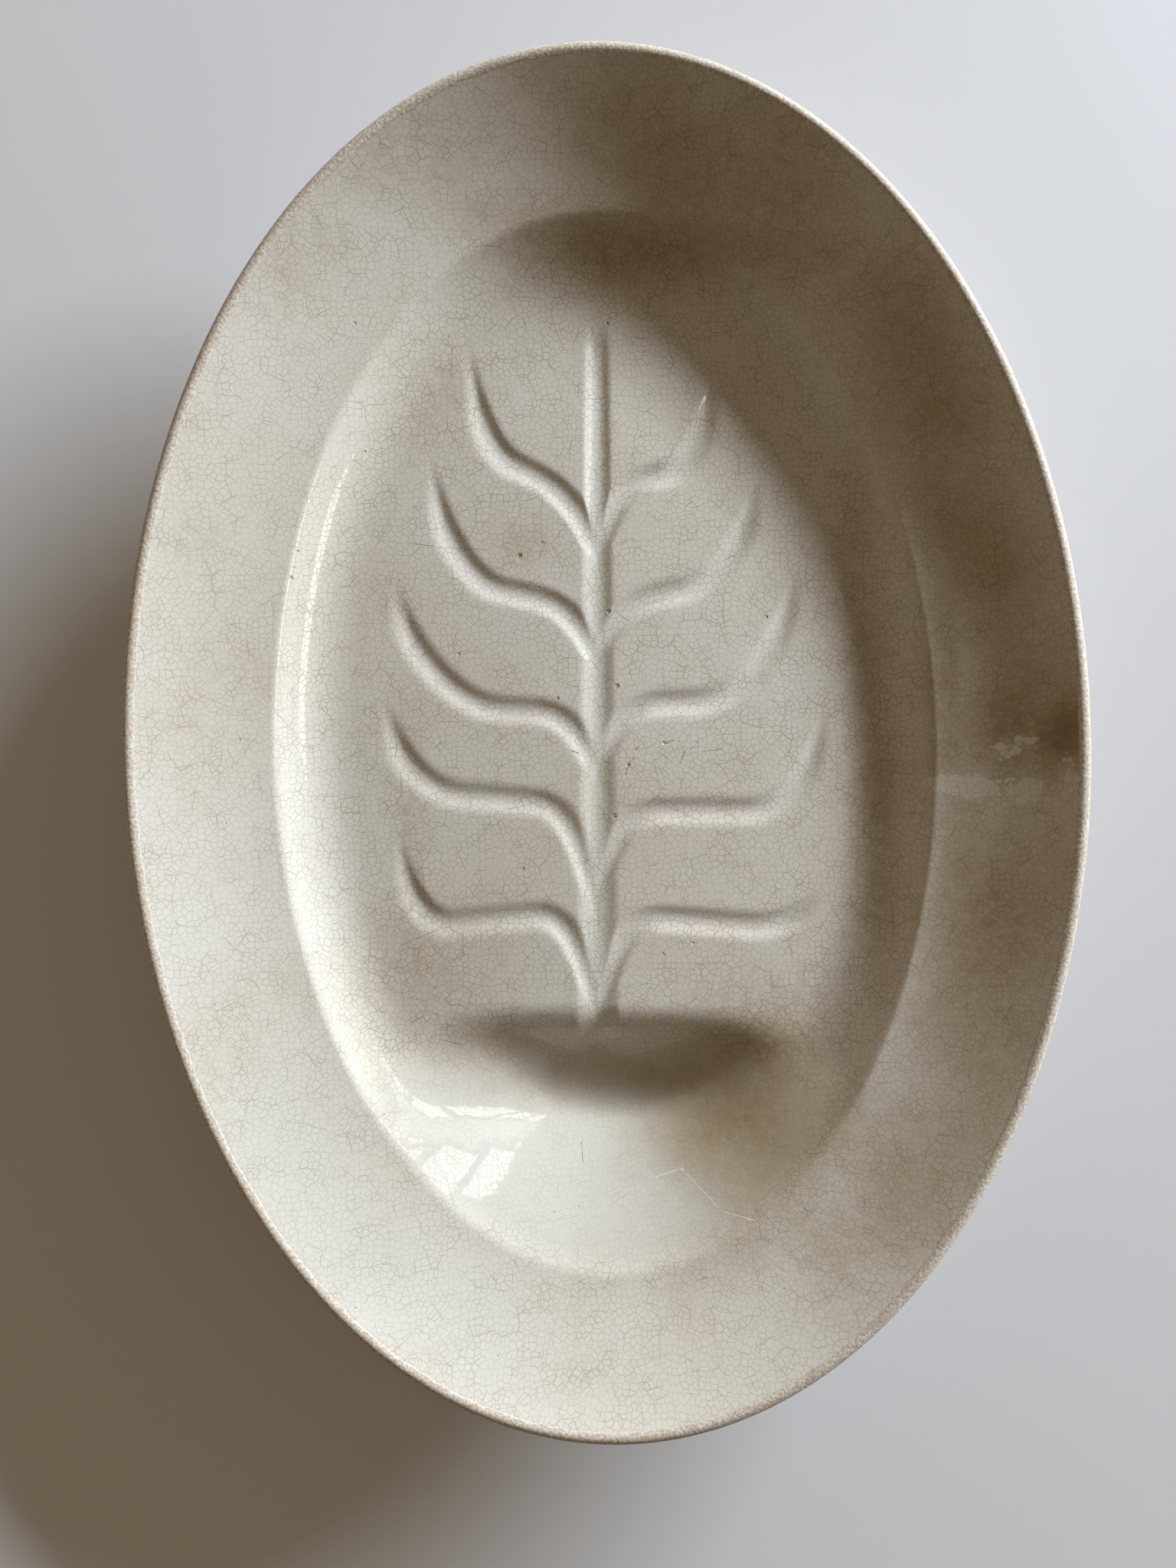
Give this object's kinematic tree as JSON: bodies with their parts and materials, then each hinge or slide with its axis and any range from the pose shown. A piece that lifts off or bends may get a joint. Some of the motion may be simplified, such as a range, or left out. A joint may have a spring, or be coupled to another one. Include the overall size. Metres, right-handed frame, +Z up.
{
  "type": "poultry platter",
  "caption": "Oval crazed white earthenware carving platter: wide upswept rim, floor cut with a tree of gravy channels that drain into a deep well, block feet luted under the tree end.",
  "frame": {"origin": "on the resting plane, under the middle of the oval", "axes": "+Z up from the table, +Y along the trunk of the tree from the well to the tip, +X to the right of the trunk seen from above with the well nearest"},
  "size_m": [0.3188, 0.4568, 0.0529],
  "materials": {
    "platter_glaze": "glossy cream-white glaze with fine crazing and brown staining",
    "foot_glaze": "glazed cream sides, worn bare at the sole"
  },
  "bodies": {
    "root": {"platter_body": "platter_glaze", "foot_left": "foot_glaze", "foot_right": "foot_glaze"}
  },
  "joints": []
}
